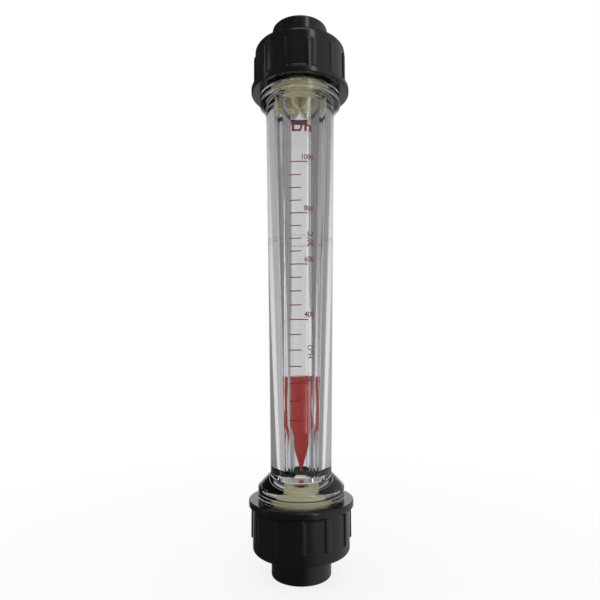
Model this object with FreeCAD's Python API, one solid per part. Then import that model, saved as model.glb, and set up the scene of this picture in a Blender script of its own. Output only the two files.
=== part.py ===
import FreeCAD, Part
import math
import os

# Clear-tube variable-area flow meter (rotameter) with a union at each end.
# Millimetres. The origin is the centre of the lower end face, +Z runs up along the flow,
# and the scale faces -Y. Each half is the mirror image of the other, apart from the tapers,
# the stops and the turn of the nuts, so a half is drawn from the middle outwards.

V = FreeCAD.Vector

# ---------------------------------------------------------------- driving dimensions
# measuring tube
tube_half_length = 140.0        # middle of the meter to the tube's end face
tube_outer_r_low = 18.05        # outside of the plain tube at the lower collar
tube_outer_r_high = 21.55       # outside of the plain tube at the upper collar
collar_r = 25.5
collar_thickness = 6.0
collar_edge_r = 1.2
collar_back_edge_r = 0.4
thread_length = 17.5            # collar to end face
shoulder_slope = 1.0            # the conical shoulder's height for each mm of its width
neck_fillet_r = 1.5             # between plain tube and shoulder
relief_width = 2.0              # thread run-out behind the collar
relief_depth = 0.9
thread_r = 23.4                 # plain cylinder over the thread's pitch line
thread_lead_in = 1.0
witness_height = 29.5           # mould line around the tube, above the middle
witness_width = 0.6
witness_depth = 0.15

# tapered bore and its guide ribs
bore_r_low = 8.6                # at the lower collar's inner face
bore_r_high = 17.0              # at the upper collar's inner face
bore_mouth_step = 0.3           # how far the upper recess stands back from the bore
inlet_recess_height = 6.5       # the bore's widening above the inlet stop
inlet_recess_edge_r = 0.4
rib_count = 4
rib_first_azimuth = 47.0        # from the front (-Y) towards +X
rib_tip_width = 2.6             # the tip is a full round of this width
rib_root_spread = 2.0           # how much wider a rib gets at the wall of a full-width bore
rib_root_bite = 1.0             # how far the ribs run into the tube's wall
float_running_gap = 1.25        # float to rib tips
seat_gap = 0.10                 # float cone to the rib ledges
seat_r = 6.5                    # the ledges' inner radius below the seat

# stops in the tube's ends
stop_r = 18.4
stop_fit = 0.1
stop_length = 18.4              # without the lip
stop_plate = 6.0
stop_skirt_wall = 3.2
stop_lip_r = 14.4               # raised ring on the plate
stop_lip_height = 1.0
stop_lip_gap = 0.3
stop_hole_r = 10.2
stop_groove = 0.6
stop_end_play = 0.1
stop_edge_r = 0.4
stop_corner_r = 1.0             # inside the cup, skirt to plate
fins_per_channel = 2            # upper stop: fins that hang between two ribs of the tube
fin_spread = 40.0               # degrees between the fins of a channel
fin_thickness = 1.8
fin_inner_r = 3.2
fin_length = 9.0
fin_inner_edge_r = 0.6
fin_crown_edge_r = 3.0          # lower outer corner of a fin
fin_lip_step = 0.4              # fins' outer edges inside the lip's
fin_datum = -90.0               # a fin is drawn along +X, azimuths count from the front
fin_bite = 0.5                  # how far the fins and spokes run into the plate's hole wall
fin_plate_gap = 1.0             # fins' outer ends below the plate's far face
spoke_count = 4                 # lower stop: a flat spider across the hole
spoke_width = 3.0
spoke_depth = 3.5
spoke_setback = 1.0             # spider below the stop's inner face
spider_hub_r = 3.6

# float
float_r = 7.25                  # widest part, the upper band
float_foot_r = 7.1              # lower shoulder, the reading edge
float_waist_r = 6.4
float_length = 55.2
float_cone_length = 23.2
float_foot_band = 5.8
float_head_band = 2.0           # full-width band under the cap
float_head_flare = 10.2         # waist to that band
float_foot_edge_r = 1.5
float_waist_blend_r = 30.0
float_head_blend_r = 3.0
float_tip_r = 0.5
float_tip_flat = 0.3            # height of the blunt tip
float_tip_rise = 8.5            # tip above the lower collar's inner face, when it rests
cap_height = 4.2
cap_plug_length = 5.0
cap_joint_gap = 0.05
ballast_r = 3.6
ballast_fit = 0.1
ballast_foot = 16.0             # above the tip
ballast_top_gap = 3.0           # below the cap's plug

# sockets (tail pieces that take the pipe)
socket_length = 27.3            # flange face to the meter's end face
sleeve_r = 17.5
sleeve_edge_r = 1.2
pipe_socket_r = 12.5
pipe_socket_depth = 19.0
pipe_chamfer = 1.0
passage_r = 10.5
flange_r = 21.9
flange_thickness = 6.4
flange_edge_r = 0.5
flange_neck_r = 0.25            # fits inside the nut's shoulder gap
face_gap = 0.2                  # tube end face to flange face

# O-ring in the flange's face
ring_section_r = 1.5
ring_mean_r = 20.4
groove_depth = 2.2
groove_side_gap = 0.15

# union nut
nut_body_r = 28.5
nut_end_wall = 6.6              # shoulder to the face beside the sleeve
nut_collar_gap = 1.5
nut_far_edge_r = 2.6
nut_rim_r = 30.9
nut_rim_length = 3.4
nut_rim_taper = 1.6
nut_rim_edge_r = 0.7
nut_rim_foot = 0.3              # small step where the rim's taper meets the body
nut_thread_fit = 0.1
nut_shoulder_gap = 0.3
nut_shoulder_r = 0.6
nut_sleeve_gap = 0.3
nut_mouth_chamfer = 0.9
nut_rib_count = 12
nut_rib_width = 3.0
nut_rib_height = 0.9
nut_rib_stop = 7.0              # ribs' ends below the far face
nut_rib_setback = 1.0           # ribs' roots inside the rim
nut_rib_edge_r = 0.6
upper_nut_turn = 10.6           # where each nut stops when it is tight, degrees
lower_nut_turn = 0.0

cut_past = 1.0                  # how far a cutting shape runs past the face it opens

# ---------------------------------------------------------------- worked-out sizes
# heights are counted from the middle of the meter outwards
collar_end = tube_half_length - thread_length
collar_start = collar_end - collar_thickness
stop_end = tube_half_length - stop_end_play
stop_start = stop_end - stop_length
lip_face = stop_start - stop_lip_height
bore_end = lip_face - stop_lip_gap
recess_top = inlet_recess_height - bore_end
flange_near = tube_half_length + face_gap
flange_far = flange_near + flange_thickness
groove_floor = flange_near + groove_depth
middle = flange_near + socket_length
nut_shoulder = flange_far + nut_shoulder_gap
nut_far_face = nut_shoulder + nut_end_wall
nut_near_face = collar_end + nut_collar_gap
nut_rib_end = nut_far_face - nut_rib_stop

counterbore_r = stop_r + stop_fit
nut_bore_r = thread_r + nut_thread_fit
guide_r = float_r + float_running_gap
ledge_run_out_r = guide_r + rib_tip_width
bore_slope = (bore_r_high - bore_r_low) / (2.0 * collar_start)
outer_slope = (tube_outer_r_high - tube_outer_r_low) / (2.0 * collar_start)

# heights above the float's tip
float_body_top = float_length - cap_height
float_head_start = float_body_top - float_head_band
float_waist_height = float_head_start - float_head_flare
ballast_top = float_body_top - cap_plug_length - ballast_top_gap
cone_slope = float_foot_r / float_cone_length


def rounded_outline(corners):
    """Closed wire in the XZ plane from (r, z, fillet) corners, each fillet a tangent arc."""
    count = len(corners)
    starts = []
    ends = []
    mids = []
    for i in range(count):
        here = V(corners[i][0], 0, corners[i][1])
        before = V(corners[i - 1][0], 0, corners[i - 1][1]) - here
        after = V(corners[(i + 1) % count][0], 0, corners[(i + 1) % count][1]) - here
        radius = corners[i][2]
        if radius <= 0:
            starts.append(here)
            ends.append(here)
            mids.append(None)
            continue
        half = before.getAngle(after) / 2.0
        reach = radius / math.tan(half)
        before.normalize()
        after.normalize()
        bisector = before + after
        bisector.normalize()
        centre = here + bisector * (radius / math.sin(half))
        starts.append(here + before * reach)
        ends.append(here + after * reach)
        mids.append(centre - bisector * radius)
    edges = []
    for i in range(count):
        if mids[i] is not None:
            edges.append(Part.Arc(starts[i], mids[i], ends[i]).toShape())
        following = (i + 1) % count
        if (starts[following] - ends[i]).Length > 1e-6:
            edges.append(Part.LineSegment(ends[i], starts[following]).toShape())
    return Part.Wire(edges)


def turned(corners):
    """Solid of revolution about Z."""
    return Part.Face(rounded_outline(corners)).revolve(V(0, 0, 0), V(0, 0, 1), 360)


def disc(radius, low, high):
    return Part.makeCylinder(radius, high - low, V(0, 0, low))


def turn_about_axis(shape, degrees):
    copy = shape.copy()
    copy.rotate(V(0, 0, 0), V(0, 0, 1), degrees)
    return copy


def placed(shape, upper):
    """From middle-outwards heights to the meter's own frame."""
    copy = shape.copy() if upper else shape.rotated(V(0, 0, 0), V(1, 0, 0), 180)
    copy.translate(V(0, 0, middle))
    return copy


def bore_radius(height):
    """Tapered bore, height counted from the middle, positive up."""
    return bore_r_low + bore_slope * (height + collar_start)


def outer_radius(height):
    return tube_outer_r_low + outer_slope * (height + collar_start)


# ---------------------------------------------------------------- measuring tube
def tube_end_corners():
    """One end's outline from the collar outwards, heights from the middle."""
    relief_end = collar_end + relief_width
    relief_r = thread_r - relief_depth
    return [
        (collar_r, collar_start, collar_edge_r),
        (collar_r, collar_end, collar_back_edge_r),
        (relief_r, collar_end, 0),
        (relief_r, relief_end, 0),
        (thread_r, relief_end + relief_depth, 0),
        (thread_r, tube_half_length - thread_lead_in, 0),
        (thread_r - thread_lead_in, tube_half_length, 0),
    ]


def neck_height(collar_side):
    """Height where the plain tube runs into the conical shoulder under a collar."""
    width = collar_r - outer_radius(collar_side * collar_start)
    return collar_side * (collar_start - shoulder_slope * width)


def tube_blank():
    end = tube_end_corners()
    lower = [(r, -z, fillet) for r, z, fillet in end]
    outline = [(0, -tube_half_length, 0)] + lower[::-1]
    low_neck = neck_height(-1.0)
    high_neck = neck_height(1.0)
    outline.append((outer_radius(low_neck), low_neck, neck_fillet_r))
    for step in (-0.5, -0.25, 0.25, 0.5):
        height = witness_height + step * witness_width
        depth = witness_depth if abs(step) < 0.5 else 0.0
        outline.append((outer_radius(height) - depth, height, 0))
    outline.append((outer_radius(high_neck), high_neck, neck_fillet_r))
    outline += end + [(0, tube_half_length, 0)]
    return turned(outline)


def bore_space():
    """The tapered bore with a counterbore for the stop at each end."""
    recess_r = stop_lip_r + stop_lip_gap
    upper_recess_r = bore_radius(bore_end) + bore_mouth_step
    high = [
        (bore_radius(bore_end), bore_end, 0),
        (upper_recess_r, bore_end, 0),
        (upper_recess_r, stop_start, 0),
        (counterbore_r, stop_start, 0),
        (counterbore_r, tube_half_length + cut_past, 0),
        (0, tube_half_length + cut_past, 0),
    ]
    low = [
        (0, -tube_half_length - cut_past, 0),
        (counterbore_r, -tube_half_length - cut_past, 0),
        (counterbore_r, -stop_start, 0),
        (recess_r, -stop_start, 0),
        (recess_r, recess_top, inlet_recess_edge_r),
        (bore_radius(recess_top), recess_top, 0),
    ]
    return turned(low + high)


def cone_height(radius):
    """Height where the resting float's cone, with the seat gap round it, has this radius."""
    return float_tip_rise - collar_start + (radius - seat_gap) / cone_slope


def float_way():
    """Space above and inside the ledges that carry the float's cone at rest."""
    seat_low = cone_height(seat_r)
    ledge_top = cone_height(ledge_run_out_r)
    return turned([
        (0, -stop_start, 0),
        (seat_r, -stop_start, 0),
        (seat_r, seat_low, 0),
        (ledge_run_out_r, ledge_top, 0),
        (0, ledge_top, 0),
    ])


def rib_section(reach):
    """Section of the rib at the front: round tip on the guide circle, wider at the wall."""
    tip = rib_tip_width / 2.0
    root = tip + rib_root_spread / 2.0
    left = V(-tip, -guide_r - tip, 0)
    right = V(tip, -guide_r - tip, 0)
    left_root = V(-root, -reach, 0)
    right_root = V(root, -reach, 0)
    return Part.Wire([
        Part.Arc(left, V(0, -guide_r, 0), right).toShape(),
        Part.LineSegment(right, right_root).toShape(),
        Part.LineSegment(right_root, left_root).toShape(),
        Part.LineSegment(left_root, left).toShape(),
    ])


def guide_ribs():
    """Radial ribs that guide the float, each with a ledge under the float's cone at its foot."""
    low = recess_top
    high = bore_end
    reach = bore_radius(high) + rib_root_bite
    rib = Part.Face(rib_section(reach)).extrude(V(0, 0, high - low))
    rib.translate(V(0, 0, low))
    rib = rib.common(turned([
        (0, low, 0),
        (bore_radius(low) + rib_root_bite, low, 0),
        (reach, high, 0),
        (0, high, 0),
    ]))
    ledge_depth = guide_r + rib_tip_width / 2.0
    ledge = Part.makeBox(rib_tip_width, ledge_depth, cone_height(ledge_run_out_r) - low,
                         V(-rib_tip_width / 2.0, -ledge_depth, low)).cut(float_way())
    ribs = []
    for k in range(rib_count):
        azimuth = rib_first_azimuth + 360.0 * k / rib_count
        ribs.append(turn_about_axis(rib, azimuth))
        ribs.append(turn_about_axis(ledge, azimuth))
    return ribs


def measuring_tube():
    shell = tube_blank().cut(bore_space())
    tube = shell.fuse(guide_ribs()).removeSplitter()
    return placed(tube, True)


# ---------------------------------------------------------------- stops
def stop_cup():
    """Plate with a raised lip and a skirt that reaches the tube's end, heights from the middle."""
    plate_end = stop_start + stop_plate
    skirt_inner = stop_r - stop_skirt_wall
    groove_middle = stop_start + stop_plate / 2.0
    return turned([
        (stop_hole_r, lip_face, stop_edge_r),
        (stop_lip_r, lip_face, stop_edge_r),
        (stop_lip_r, stop_start, 0),
        (stop_r, stop_start, stop_edge_r),
        (stop_r, groove_middle - stop_groove, 0),
        (stop_r - stop_groove, groove_middle, 0),
        (stop_r, groove_middle + stop_groove, 0),
        (stop_r, stop_end, stop_edge_r),
        (skirt_inner, stop_end, stop_edge_r),
        (skirt_inner, plate_end, stop_corner_r),
        (stop_hole_r, plate_end, stop_edge_r),
    ])


def upper_stop():
    """Outlet stop: fins hang into the bore, clear of the ribs, and catch the float's head."""
    crown_r = stop_lip_r - fin_lip_step
    root_r = stop_hole_r + fin_bite
    fin_low = stop_start - fin_length
    fin_end = stop_start + stop_plate - fin_plate_gap
    outline = [
        (fin_inner_r, fin_low, fin_inner_edge_r),
        (crown_r, fin_low, fin_crown_edge_r),
        (crown_r, lip_face + fin_bite, 0),
        (root_r, lip_face + fin_bite, 0),
        (root_r, fin_end, 0),
        (fin_inner_r, fin_end, 0),
    ]
    fin = Part.Face(rounded_outline(outline)).extrude(V(0, fin_thickness, 0))
    fin.translate(V(0, -fin_thickness / 2.0, 0))
    channel = 360.0 / rib_count
    fins = []
    for k in range(rib_count):
        middle_azimuth = fin_datum + rib_first_azimuth + channel * (k + 0.5)
        for n in range(fins_per_channel):
            offset = fin_spread * (n - (fins_per_channel - 1) / 2.0)
            fins.append(turn_about_axis(fin, middle_azimuth + offset))
    return placed(stop_cup().fuse(fins).removeSplitter(), True)


def lower_stop():
    """Inlet stop: a flat spider crosses the hole below the float."""
    spider_low = stop_start + spoke_setback
    spoke = Part.makeBox(stop_hole_r + fin_bite, spoke_width, spoke_depth,
                         V(0, -spoke_width / 2.0, spider_low))
    spokes = [turn_about_axis(spoke, 360.0 * (k + 0.5) / spoke_count) for k in range(spoke_count)]
    hub = disc(spider_hub_r, spider_low, spider_low + spoke_depth)
    return placed(stop_cup().fuse(spokes + [hub]).removeSplitter(), False)


# ---------------------------------------------------------------- float
def float_outline(top):
    """Half outline of the float up to a height above its tip, closed along the axis."""
    foot_top = float_cone_length + float_foot_band
    return [
        (0, 0, 0),
        (float_tip_r, float_tip_flat, 0),
        (float_foot_r, float_cone_length, float_foot_edge_r),
        (float_foot_r, foot_top, float_foot_edge_r),
        (float_waist_r, float_waist_height, float_waist_blend_r),
        (float_r, float_head_start, float_head_blend_r),
        (float_r, top, 0),
        (0, top, 0),
    ]


def raised(shape):
    copy = shape.copy()
    copy.translate(V(0, 0, middle - collar_start + float_tip_rise))
    return copy


def float_body():
    cavity_r = ballast_r + ballast_fit
    cavity = disc(cavity_r, ballast_foot - ballast_fit, float_length)
    return raised(turned(float_outline(float_body_top)).cut(cavity))


def float_cap():
    plug_low = float_body_top - cap_plug_length
    plug_r = ballast_r + ballast_fit - cap_joint_gap
    return raised(turned([
        (0, plug_low, 0),
        (plug_r, plug_low, 0.3),
        (plug_r, float_body_top, 0),
        (float_r, float_body_top, 0.2),
        (float_r, float_length, 0.9),
        (0, float_length, 0),
    ]))


def float_ballast():
    return raised(turned([
        (0, ballast_foot, 0),
        (ballast_r, ballast_foot, 0.4),
        (ballast_r, ballast_top, 0.4),
        (0, ballast_top, 0),
    ]))


# ---------------------------------------------------------------- sockets and seals
def socket(upper):
    """Tail piece: flange under the nut, sleeve outside it, pipe socket with a stop inside."""
    pipe_stop = middle - pipe_socket_depth
    body = turned([
        (passage_r, flange_near, 0.4),
        (flange_r, flange_near, flange_edge_r),
        (flange_r, flange_far, flange_edge_r),
        (sleeve_r, flange_far, flange_neck_r),
        (sleeve_r, middle, sleeve_edge_r),
        (pipe_socket_r + pipe_chamfer, middle, 0),
        (pipe_socket_r, middle - pipe_chamfer, 0),
        (pipe_socket_r, pipe_stop, 0),
        (passage_r, pipe_stop, 0.4),
    ])
    groove_half = ring_section_r + groove_side_gap
    groove = disc(ring_mean_r + groove_half, flange_near - 1, groove_floor)
    groove = groove.cut(disc(ring_mean_r - groove_half, flange_near - 2, groove_floor + 1))
    return placed(body.cut(groove), upper)


def o_ring(upper):
    """Squeezed ring: a round section flattened on the groove's floor and the tube's face."""
    squeezed_middle = (tube_half_length + groove_floor) / 2.0
    ring = Part.makeTorus(ring_mean_r, ring_section_r, V(0, 0, squeezed_middle))
    ring = ring.common(disc(nut_bore_r, tube_half_length, groove_floor))
    return placed(ring, upper)


# ---------------------------------------------------------------- union nuts
def union_nut(upper, turn):
    rim_far = nut_near_face + nut_rim_length
    taper_far = rim_far + nut_rim_taper
    outside = turned([
        (0, nut_near_face, 0),
        (nut_rim_r, nut_near_face, nut_rim_edge_r),
        (nut_rim_r, rim_far, nut_rim_edge_r),
        (nut_body_r + nut_rim_foot, taper_far, 0),
        (nut_body_r, taper_far + nut_rim_foot, 0),
        (nut_body_r, nut_far_face, nut_far_edge_r),
        (0, nut_far_face, 0),
    ])
    rib_r = nut_body_r + nut_rib_height
    rib_start = nut_near_face + nut_rib_setback
    rib = Part.makeBox(nut_rib_width, rib_r, nut_rib_end - rib_start,
                       V(-nut_rib_width / 2.0, -rib_r, rib_start))
    far_corners = [edge for edge in rib.Edges
                   if edge.BoundBox.YMax < -rib_r + 1e-6 and edge.BoundBox.XLength < 1e-6]
    far_end = [edge for edge in rib.Edges
               if edge.BoundBox.YMax < -rib_r + 1e-6 and edge.BoundBox.ZMin > nut_rib_end - 1e-6]
    rib = rib.makeFillet(nut_rib_edge_r, far_corners + far_end)
    ribs = [turn_about_axis(rib, 360.0 * k / nut_rib_count) for k in range(nut_rib_count)]
    body = outside.fuse(ribs)
    inside = turned([
        (0, nut_near_face - 1, 0),
        (nut_bore_r + nut_mouth_chamfer + 1, nut_near_face - 1, 0),
        (nut_bore_r, nut_near_face + nut_mouth_chamfer, 0),
        (nut_bore_r, nut_shoulder, nut_shoulder_r),
        (sleeve_r + nut_sleeve_gap, nut_shoulder, 0),
        (sleeve_r + nut_sleeve_gap, nut_far_face + 1, 0),
        (0, nut_far_face + 1, 0),
    ])
    nut = turn_about_axis(body.cut(inside).removeSplitter(), turn if upper else -turn)
    return placed(nut, upper)


# ---------------------------------------------------------------- write the nodes
def main():
    os.makedirs("parts", exist_ok=True)
    nodes = {
        "measuring_tube": measuring_tube(),
        "upper_stop": upper_stop(),
        "lower_stop": lower_stop(),
        "float_body": float_body(),
        "float_cap": float_cap(),
        "float_ballast": float_ballast(),
        "upper_socket": socket(True),
        "lower_socket": socket(False),
        "upper_o_ring": o_ring(True),
        "lower_o_ring": o_ring(False),
        "upper_union_nut": union_nut(True, upper_nut_turn),
        "lower_union_nut": union_nut(False, lower_nut_turn),
    }
    for name, shape in nodes.items():
        solids = shape.Solids
        print(name, len(solids), round(shape.Volume, 1), shape.isValid())
        shape.exportStep("parts/" + name + ".step")


main()
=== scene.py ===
"""Clear-tube flow meter (rotameter), dressed for a studio view around its solid frame."""

import math

import bmesh
import bpy
from mathutils import Matrix, Vector


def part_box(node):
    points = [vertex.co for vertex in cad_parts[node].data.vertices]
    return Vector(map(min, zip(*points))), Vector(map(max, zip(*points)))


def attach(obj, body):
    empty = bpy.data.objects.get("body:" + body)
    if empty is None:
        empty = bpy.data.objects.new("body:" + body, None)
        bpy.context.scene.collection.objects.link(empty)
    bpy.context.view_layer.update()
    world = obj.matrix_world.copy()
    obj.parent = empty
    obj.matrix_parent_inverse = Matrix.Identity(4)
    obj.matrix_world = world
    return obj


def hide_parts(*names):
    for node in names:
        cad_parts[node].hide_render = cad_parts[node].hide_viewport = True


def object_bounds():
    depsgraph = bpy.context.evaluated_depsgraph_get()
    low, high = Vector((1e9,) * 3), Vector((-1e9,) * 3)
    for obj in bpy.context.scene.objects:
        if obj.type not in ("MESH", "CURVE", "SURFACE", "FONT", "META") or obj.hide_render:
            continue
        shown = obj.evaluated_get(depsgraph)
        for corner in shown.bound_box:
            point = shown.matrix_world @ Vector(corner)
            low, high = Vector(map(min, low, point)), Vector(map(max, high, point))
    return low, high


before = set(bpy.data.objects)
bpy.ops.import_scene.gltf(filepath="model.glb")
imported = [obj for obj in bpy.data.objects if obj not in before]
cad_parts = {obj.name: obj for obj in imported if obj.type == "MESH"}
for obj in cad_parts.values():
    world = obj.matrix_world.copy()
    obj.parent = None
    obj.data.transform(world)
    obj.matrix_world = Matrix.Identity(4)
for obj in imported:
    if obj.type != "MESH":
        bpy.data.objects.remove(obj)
cad_low, cad_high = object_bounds()

bl_info = {
    "name": "Rotameter builder",
    "version": (1, 0, 0),
    "blender": (4, 5, 0),
    "location": "3D View > Sidebar > Rotameter",
    "description": "Builds a clear-tube variable-area flow meter around its frame",
    "category": "Object",
}

MM = 0.001
WELD = 1e-7             # vertices closer than this are one
MIDDLE = (cad_low.z + cad_high.z) / 2.0
tube_low, tube_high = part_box("measuring_tube")
float_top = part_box("float_cap")[1].z
float_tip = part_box("float_body")[0].z
nut_low, nut_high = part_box("upper_union_nut")


def length(name, text, default):
    """A size in metres that the sidebar shows in the scene's own units."""
    return bpy.props.FloatProperty(name=name, description=text, default=default, unit="LENGTH",
                                   precision=5, min=0.0)


def colour(name, text, default):
    return bpy.props.FloatVectorProperty(name=name, description=text, default=default,
                                         subtype="COLOR", size=3, min=0.0, max=1.0)


# ------------------------------------------------------------------ what a user may change
class TubeSizes(bpy.types.PropertyGroup):
    """Sizes of the measuring tube."""

    outer_r_low: length("Outer radius, low", "Outside of the tube at the lower collar", 18.05 * MM)
    outer_r_high: length("Outer radius, high", "Outside at the upper collar", 21.55 * MM)
    collar_thickness: length("Collar thickness", "Height of each collar", 6.0 * MM)
    thread_length: length("Thread length", "Collar to end face", 17.5 * MM)
    bore_r_low: length("Bore radius, low", "Bore at the lower collar", 8.6 * MM)
    bore_r_high: length("Bore radius, high", "Bore at the upper collar", 17.0 * MM)
    rib_tip_width: length("Rib tip width", "Width of a guide rib at its tip", 2.6 * MM)
    rib_spread: length("Rib spread", "How much wider a rib gets at a full-width wall", 2.0 * MM)
    rib_azimuth: bpy.props.FloatProperty(
        name="First rib", description="Turn of the first guide rib from the front",
        default=math.radians(47.0), subtype="ANGLE")
    guide_r: length("Guide radius", "Circle of the rib tips that guides the float", 8.5 * MM)
    seat_r: length("Seat radius", "Rib tips below the float's seat", 6.5 * MM)
    recess_height: length("Inlet recess", "How far the bore is widened above the inlet stop",
                          6.5 * MM)
    witness_height: length("Mould line height", "Above the middle of the meter", 29.5 * MM)


class ThreadSizes(bpy.types.PropertyGroup):
    """The pipe thread that tube and nuts share."""

    pitch: length("Pitch", "Advance for one turn", 2.309 * MM)
    mean_r: length("Mean radius", "Half way between crest and root", 23.16 * MM)
    depth: length("Depth", "Crest to root", 1.48 * MM)
    fit: length("Fit", "Clearance between the tube's thread and the nut's", 0.12 * MM)


class FloatSizes(bpy.types.PropertyGroup):
    """Sizes of the float."""

    head_r: length("Head radius", "Widest band, at the top", 7.25 * MM)
    foot_r: length("Foot radius", "Lower shoulder, the reading edge", 7.1 * MM)
    waist_r: length("Waist radius", "Narrowest stretch between the bands", 6.4 * MM)
    cone_length: length("Cone length", "Tip to lower shoulder", 23.2 * MM)


class NutSizes(bpy.types.PropertyGroup):
    """Sizes of the union nuts."""

    body_r: length("Body radius", "Nut without its ribs", 28.5 * MM)
    rim_r: length("Rim radius", "Raised rim beside the collar", 30.9 * MM)
    rim_length: length("Rim length", "Height of the raised rim", 3.4 * MM)
    rib_height: length("Rib height", "How far the grip ribs stand out", 0.9 * MM)
    rib_width: length("Rib width", "Width of a grip rib", 3.0 * MM)
    ribs: bpy.props.IntProperty(name="Ribs", description="Number of grip ribs", default=12,
                                min=3, max=24)
    upper_turn: bpy.props.FloatProperty(
        name="Upper nut's turn", description="Where the upper nut stops when it is tight",
        default=math.radians(10.6), subtype="ANGLE")


class ScaleSizes(bpy.types.PropertyGroup):
    """The printed scale."""

    low_flow: bpy.props.IntProperty(name="Lowest mark", description="Litres an hour",
                                    default=100)
    high_flow: bpy.props.IntProperty(name="Highest mark", description="Litres an hour",
                                     default=1000)
    digit_height: length("Digit height", "Height of the numbers", 3.3 * MM)
    line_width: length("Line width", "Height of a scale mark", 0.58 * MM)
    boldness: bpy.props.FloatProperty(name="Boldness", description="How far letters are fattened",
                                      default=0.014, min=0.0, max=0.1)
    ink_lift: length("Ink lift", "Thickness of the ink over the tube", 0.05 * MM)


class FinishColours(bpy.types.PropertyGroup):
    """Colours of the plastics and the ink."""

    clear: colour("Clear plastic", "Tint of the tube", (0.80, 0.80, 0.81))
    red: colour("Red plastic", "The float", (0.52, 0.020, 0.010))
    cream: colour("Cream plastic", "The stops", (0.74, 0.69, 0.44))
    black: colour("Black plastic", "Nuts and sockets", (0.0045, 0.0045, 0.005))
    ink: colour("Ink", "The printed scale", (0.12, 0.004, 0.010))


# ------------------------------------------------------------------ mesh tools
def edges_round(ring):
    """Edges of a closed ring of vertices, in order."""
    found = []
    for vert, after in zip(ring, ring[1:] + ring[:1]):
        found.append(next(e for e in vert.link_edges if e.other_vert(vert) is after))
    return found


def first_ring(bm, points):
    """Ring of edges that the skin starts from."""
    ring = bmesh.ops.create_circle(bm, segments=len(points), radius=1.0)["verts"]
    for vert, point in zip(ring, points):
        vert.co = point
    return ring


def next_ring(bm, ring, points):
    """Pulls a ring out of the last one and puts its vertices in their places."""
    made = bmesh.ops.extrude_edge_only(bm, edges=edges_round(ring))["geom"]
    fresh = {v for v in made if isinstance(v, bmesh.types.BMVert)}
    pulled = []
    for vert, point in zip(ring, points):
        twin = next(e.other_vert(vert) for e in vert.link_edges if e.other_vert(vert) in fresh)
        twin.co = point
        pulled.append(twin)
    return pulled


def skin(bm, rings):
    """Closed skin over rings that run up the outside, over the end and down the inside."""
    start = first_ring(bm, rings[0])
    last = start
    for points in rings[1:]:
        last = next_ring(bm, last, points)
    bmesh.ops.bridge_loops(bm, edges=edges_round(start) + edges_round(last))


def softened(corners, steps=5, hold=0.25 * MM):
    """(r, z) points through (r, z, fillet) corners, with a close point beside each arc."""
    points = []
    count = len(corners)
    for i, (r, z, radius) in enumerate(corners):
        here = Vector((r, z))
        if radius <= 0.0 or i in (0, count - 1):
            points.append(here)
            continue
        back = (Vector(corners[i - 1][:2]) - here).normalized()
        ahead = (Vector(corners[i + 1][:2]) - here).normalized()
        half = back.angle(ahead) / 2.0
        reach = radius / math.tan(half)
        centre = here + (back + ahead).normalized() * (radius / math.sin(half))
        start = here + back * reach - centre
        turn = start.angle_signed(here + ahead * reach - centre)
        points.append(centre + start + back * hold)
        for k in range(steps + 1):
            points.append(centre + Matrix.Rotation(-turn * k / steps, 2) @ start)
        points.append(here + ahead * (reach + hold))
    return points


def turned(name, outline, segments=128):
    """A closed turned piece from its (r, z) outline, spun about the axis."""
    bm = bmesh.new()
    verts = [bm.verts.new((p[0], 0.0, p[1])) for p in outline]
    on_axis = outline[0][0] < 1e-9 and outline[-1][0] < 1e-9
    pairs = list(zip(verts, verts[1:])) + ([] if on_axis else [(verts[-1], verts[0])])
    edges = [bm.edges.new(pair) for pair in pairs]
    bmesh.ops.spin(bm, geom=verts + edges, cent=(0, 0, 0), axis=(0, 0, 1), dvec=(0, 0, 0),
                   angle=math.tau, steps=segments, use_merge=True, use_duplicate=False)
    return finished(name, bm)


def finished(name, bm, sharp=math.radians(38.0)):
    """Welds, turns faces outwards, marks creases and links the piece as an object."""
    bmesh.ops.remove_doubles(bm, verts=bm.verts, dist=WELD)
    bmesh.ops.dissolve_degenerate(bm, edges=bm.edges, dist=WELD)
    bmesh.ops.recalc_face_normals(bm, faces=bm.faces)
    for face in bm.faces:
        face.smooth = True
    for edge in bm.edges:
        edge.smooth = not edge.is_manifold or edge.calc_face_angle() < sharp
    mesh = bpy.data.meshes.new(name)
    bm.to_mesh(mesh)
    bm.free()
    obj = bpy.data.objects.new(name, mesh)
    bpy.context.scene.collection.objects.link(obj)
    return obj


def dressed(obj, material, slot, body, *nodes):
    """Material, body and the solids that a piece stands for. The slot argument is not used."""
    obj.data.materials.append(material)
    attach(obj, body)
    if nodes:
        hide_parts(*nodes)


def polar(radius, angle, z):
    """Point at an angle from the front (-Y) towards +X."""
    return Vector((radius * math.sin(angle), -radius * math.cos(angle), z))


def across(u, reach, angle, z):
    """Point at a sideways offset u and a distance along the direction of an angle."""
    return Vector((u * math.cos(angle) + reach * math.sin(angle),
                   u * math.sin(angle) - reach * math.cos(angle), z))


THREAD_FLAT = 1.35      # above 1 the crest and the root are cut flat
THREAD_SAG = 0.12       # share by which crest and root fall short of the full depth


def thread_wave(angle, z, pitch):
    """About -1 at the root and 1 at the crest of a right-hand thread."""
    turns = z / pitch - angle / math.tau
    slope = abs(2.0 * (turns - math.floor(turns)) - 1.0) * 2.0 - 1.0
    return max(-1.0, min(1.0, THREAD_FLAT * slope)) * (1.0 - THREAD_SAG * slope * slope)


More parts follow.
